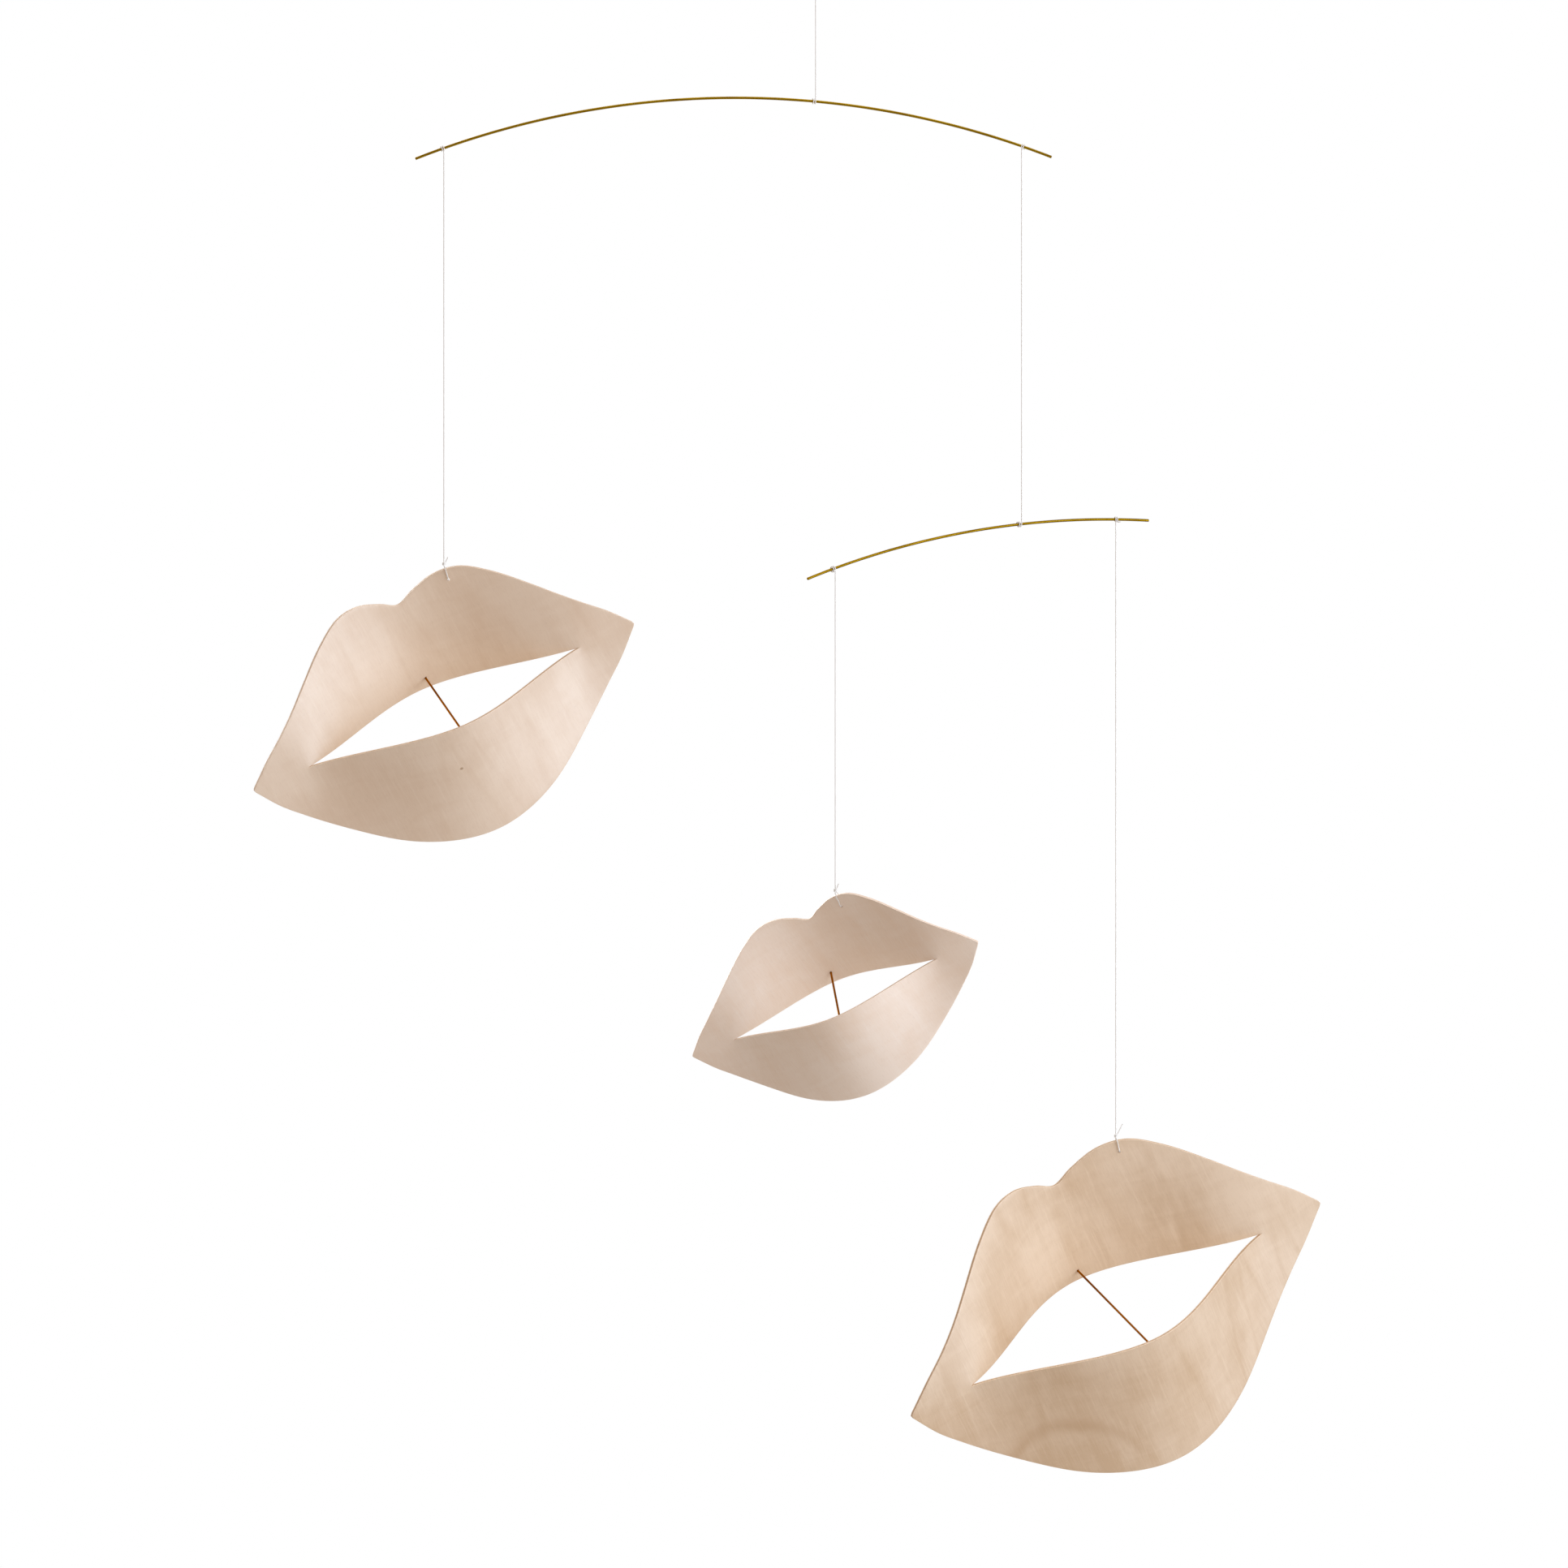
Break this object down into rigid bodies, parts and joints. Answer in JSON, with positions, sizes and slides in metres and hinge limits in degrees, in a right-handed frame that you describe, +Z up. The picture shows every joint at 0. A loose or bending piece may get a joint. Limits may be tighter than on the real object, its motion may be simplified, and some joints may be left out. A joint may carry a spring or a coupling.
{
  "type": "hanging mobile sculpture",
  "caption": "Hanging mobile: sprung plywood lips, slit and held open by brass pins, strung on thread from arched brass arms.",
  "frame": {"origin": "inside the top of the ceiling thread's loop, where the hook bears", "axes": "+Z up along the ceiling thread, +X to the viewer's right along the upper arm, +Y away from the viewer"},
  "size_m": [0.6011, 0.1689, 0.8492],
  "materials": {
    "thread": "matt white twisted thread",
    "brass": "dull drawn brass rod",
    "pin": "browned brass wire",
    "plywood": "satin birch plywood"
  },
  "bodies": {
    "hook_thread": {"ceiling_thread": "thread"},
    "upper_arm": {"upper_arm": "brass", "ceiling_hitch": "thread", "left_thread": "thread", "arm_thread": "thread"},
    "lower_arm": {"lower_arm": "brass", "arm_hitch": "thread", "small_thread": "thread", "large_thread": "thread"},
    "left_lip": {"left_lip": "plywood", "left_pin": "pin", "left_knot": "thread"},
    "small_lip": {"small_lip": "plywood", "small_pin": "pin", "small_knot": "thread"},
    "large_lip": {"large_lip": "plywood", "large_pin": "pin", "large_knot": "thread"}
  },
  "joints": [
    {"name": "upper_arm_turn", "type": "hinge", "parent": "hook_thread", "child": "upper_arm", "pos_m": [0, 0, -0.0768], "axis": [0, 0, 1], "continuous": true},
    {"name": "lower_arm_turn", "type": "hinge", "parent": "upper_arm", "child": "lower_arm", "pos_m": [0.11587, 0, -0.31459], "axis": [0, 0, 1], "continuous": true},
    {"name": "left_lip_turn", "type": "hinge", "parent": "upper_arm", "child": "left_lip", "pos_m": [-0.20913, 0, -0.33753], "axis": [0, 0, 1], "continuous": true},
    {"name": "small_lip_turn", "type": "hinge", "parent": "lower_arm", "child": "small_lip", "pos_m": [0.01103, -0.05181, -0.52117], "axis": [0, 0, 1], "continuous": true},
    {"name": "large_lip_turn", "type": "hinge", "parent": "lower_arm", "child": "large_lip", "pos_m": [0.169, 0.02626, -0.65952], "axis": [0, 0, 1], "continuous": true}
  ]
}
